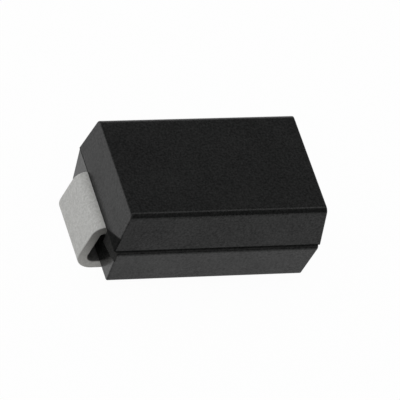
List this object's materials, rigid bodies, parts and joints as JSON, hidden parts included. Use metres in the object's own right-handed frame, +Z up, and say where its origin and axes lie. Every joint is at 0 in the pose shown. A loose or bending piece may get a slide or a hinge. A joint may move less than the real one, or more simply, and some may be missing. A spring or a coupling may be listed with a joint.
{
  "type": "surface mount rectifier diode",
  "caption": "Black moulded rectangular block with drafted walls and a flat tin-plated lead folded under each end, a rectifier diode that solders flat to a circuit board.",
  "frame": {"origin": "on the board plane that the feet stand on, under the middle of the part's length and width", "axes": "+X along the length from the cathode lead to the anode lead, +Y across the width, +Z up away from the board"},
  "size_m": [0.005, 0.0028, 0.0022],
  "materials": {
    "moulding_compound": "fine spark-textured satin black epoxy moulding compound",
    "tin_plated_lead": "matte fine-grained tin plating on copper alloy strip",
    "silicon": "metallised silicon, hidden in the moulding",
    "junction_glass": "fused passivation glass, hidden in the moulding",
    "solder": "dull soft solder, hidden in the moulding"
  },
  "bodies": {
    "root": {"moulded_body": "moulding_compound", "cathode_lead": "tin_plated_lead", "anode_lead": "tin_plated_lead", "diode_chip": "silicon", "passivation_glass": "junction_glass", "cathode_solder": "solder", "anode_solder": "solder"}
  },
  "joints": []
}
